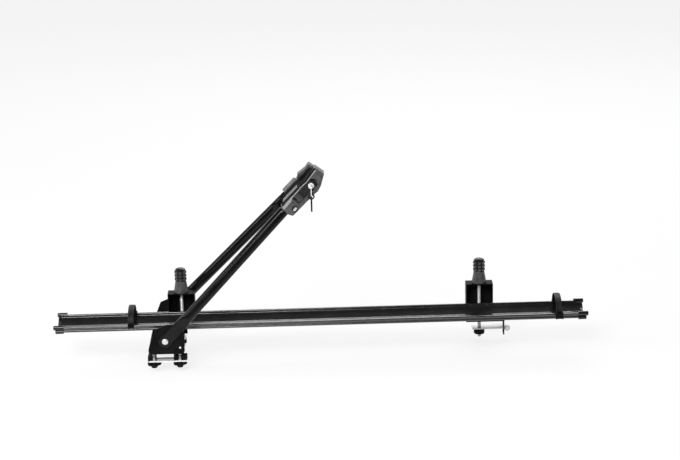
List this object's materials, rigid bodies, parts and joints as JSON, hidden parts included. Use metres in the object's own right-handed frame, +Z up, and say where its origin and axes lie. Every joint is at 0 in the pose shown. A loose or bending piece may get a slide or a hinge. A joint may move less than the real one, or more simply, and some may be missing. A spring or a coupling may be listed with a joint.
{
  "type": "roof mounted bike carrier",
  "caption": "Long folded wheel tray on roof bar clamps with a hinged two-legged arm whose lever-closed jaws grip a bicycle frame tube, and wheel straps at both ends.",
  "frame": {"origin": "middle of the front roof bar seat, on the tray's centre plane", "axes": "+X along the tray towards its rear end, +Y across it away from the near clamp, +Z up"},
  "size_m": [1.442, 0.2564, 0.5411],
  "materials": {
    "black_steel": "satin black powder coat",
    "gloss_black_tube": "smooth black paint",
    "zinc": "bright zinc plate",
    "black_plastic": "fine moulded grain",
    "black_rubber": "matte",
    "grey_rubber": "matte",
    "grey_plastic": "moulded",
    "bright_lock": "polished",
    "dark_key": "moulded"
  },
  "bodies": {
    "base": {"tray": "black_steel", "front_near_end_cap": "black_plastic", "front_far_end_cap": "black_plastic", "rear_near_end_cap": "black_plastic", "rear_far_end_cap": "black_plastic", "front_beam": "black_steel", "near_cheek": "black_steel", "far_cheek": "black_steel", "cheek_rivets": "zinc", "near_pivot_bolt": "zinc", "far_pivot_bolt": "zinc", "pivot_nuts": "zinc", "front_saddle": "black_steel", "rear_saddle": "black_steel", "tray_bolts": "zinc", "tray_nuts": "zinc", "front_tower": "black_steel", "rear_tower": "black_steel", "near_clamp_bolts": "zinc"},
    "near_plate": {"near_clamp_plate": "zinc", "near_clamp_blocks": "black_plastic"},
    "outer_star_nut": {"outer_star_nut": "black_plastic"},
    "inner_star_nut": {"inner_star_nut": "black_plastic"},
    "front_knob": {"front_stud": "zinc", "front_knob": "black_plastic"},
    "front_plate": {"front_clamp_plate": "zinc", "front_stud_nut": "black_plastic", "front_hook_pin": "zinc"},
    "rear_knob": {"rear_stud": "zinc", "rear_knob": "black_plastic"},
    "rear_plate": {"rear_clamp_plate": "zinc", "rear_stud_nut": "black_plastic", "rear_hook_pin": "zinc"},
    "arm": {"near_leg": "gloss_black_tube", "far_leg": "gloss_black_tube", "far_leg_cap": "black_plastic", "head_yoke": "gloss_black_tube", "near_jaw": "black_plastic", "near_pad": "grey_rubber", "guide_pin": "zinc", "lever_pin": "zinc"},
    "tie": {"tie_bolt": "zinc"},
    "far_jaw": {"far_jaw": "black_plastic", "far_barrel": "grey_plastic", "far_pad": "grey_rubber"},
    "adjuster": {"adjuster_nut": "grey_plastic"},
    "lever": {"clamp_lever": "black_plastic"},
    "lock": {"lock_barrel": "bright_lock", "lock_key": "bright_lock"},
    "keys": {"key_ring": "dark_key", "spare_key": "dark_key"},
    "front_strap": {"front_strap": "black_rubber", "front_strap_slider": "black_plastic", "front_strap_anchor": "black_plastic"},
    "front_buckle": {"front_buckle": "black_plastic"},
    "rear_strap": {"rear_strap": "black_rubber", "rear_strap_slider": "black_plastic", "rear_strap_anchor": "black_plastic"},
    "rear_buckle": {"rear_buckle": "black_plastic"}
  },
  "joints": [
    {"name": "arm_fold", "type": "hinge", "parent": "base", "child": "arm", "pos_m": [0.003, 0, 0.037], "axis": [0, 1, 0], "range_deg": [-44, 34]},
    {"name": "lever_open", "type": "hinge", "parent": "arm", "child": "lever", "pos_m": [0.36627, -0.067, 0.41186], "axis": [0.7181, 0, -0.6959], "range_deg": [0, 75]},
    {"name": "tie_draw", "type": "slide", "parent": "arm", "child": "tie", "axis": [0, 1, 0], "range_m": [0, 0.0101]},
    {"name": "jaw_set", "type": "slide", "parent": "tie", "child": "far_jaw", "axis": [0, 1, 0], "range_m": [0, 0.008]},
    {"name": "adjuster_turn", "type": "hinge", "parent": "far_jaw", "child": "adjuster", "pos_m": [0.36555, 0.075, 0.41256], "axis": [0, 1, 0], "range_deg": [0, 2306]},
    {"name": "lock_turn", "type": "hinge", "parent": "lever", "child": "lock", "pos_m": [0.40324, -0.08, 0.44427], "axis": [0, 1, 0], "range_deg": [0, 90]},
    {"name": "keys_swing", "type": "hinge", "parent": "lock", "child": "keys", "pos_m": [0.40324, -0.0925, 0.42727], "axis": [1, 0, 0], "range_deg": [-40, 20]},
    {"name": "front_knob_turn", "type": "hinge", "parent": "base", "child": "front_knob", "pos_m": [0.039, 0.077, 0.12], "axis": [0, 0, 1], "range_deg": [0, 1442]},
    {"name": "front_plate_drop", "type": "slide", "parent": "base", "child": "front_plate", "axis": [0, 0, -1], "range_m": [0, 0.008]},
    {"name": "rear_knob_turn", "type": "hinge", "parent": "base", "child": "rear_knob", "pos_m": [0.859, 0.09, 0.12], "axis": [0, 0, 1], "range_deg": [0, 1442]},
    {"name": "rear_plate_drop", "type": "slide", "parent": "base", "child": "rear_plate", "axis": [0, 0, -1], "range_m": [0, 0.008]},
    {"name": "near_plate_drop", "type": "slide", "parent": "base", "child": "near_plate", "axis": [0, 0, -1], "range_m": [0, 0.0075]},
    {"name": "outer_nut_turn", "type": "hinge", "parent": "near_plate", "child": "outer_star_nut", "pos_m": [-0.03, -0.1, -0.03], "axis": [0, 0, 1], "range_deg": [0, 2162]},
    {"name": "inner_nut_turn", "type": "hinge", "parent": "near_plate", "child": "inner_star_nut", "pos_m": [0.039, -0.1, -0.03], "axis": [0, 0, 1], "range_deg": [0, 2162]},
    {"name": "front_strap_shift", "type": "slide", "parent": "base", "child": "front_strap", "axis": [1, 0, 0], "range_m": [-0.12, 0.05]},
    {"name": "front_buckle_open", "type": "hinge", "parent": "front_strap", "child": "front_buckle", "pos_m": [-0.092, 0.0613, 0.051], "axis": [-1, 0, 0], "range_deg": [0, 100]},
    {"name": "rear_strap_shift", "type": "slide", "parent": "base", "child": "rear_strap", "axis": [1, 0, 0], "range_m": [-0.12, 0.03]},
    {"name": "rear_buckle_open", "type": "hinge", "parent": "rear_strap", "child": "rear_buckle", "pos_m": [1.064, -0.0613, 0.051], "axis": [1, 0, 0], "range_deg": [0, 100]}
  ],
  "couplings": [
    {"joint": "tie_draw", "follows": "lever_open", "m_per_rad": 0.0076394},
    {"joint": "adjuster_turn", "follows": "jaw_set", "rad_per_m": 5026.5},
    {"joint": "front_knob_turn", "follows": "front_plate_drop", "rad_per_m": 3141.6},
    {"joint": "rear_knob_turn", "follows": "rear_plate_drop", "rad_per_m": 3141.6},
    {"joint": "outer_nut_turn", "follows": "near_plate_drop", "rad_per_m": 5026.5},
    {"joint": "inner_nut_turn", "follows": "near_plate_drop", "rad_per_m": 5026.5}
  ]
}
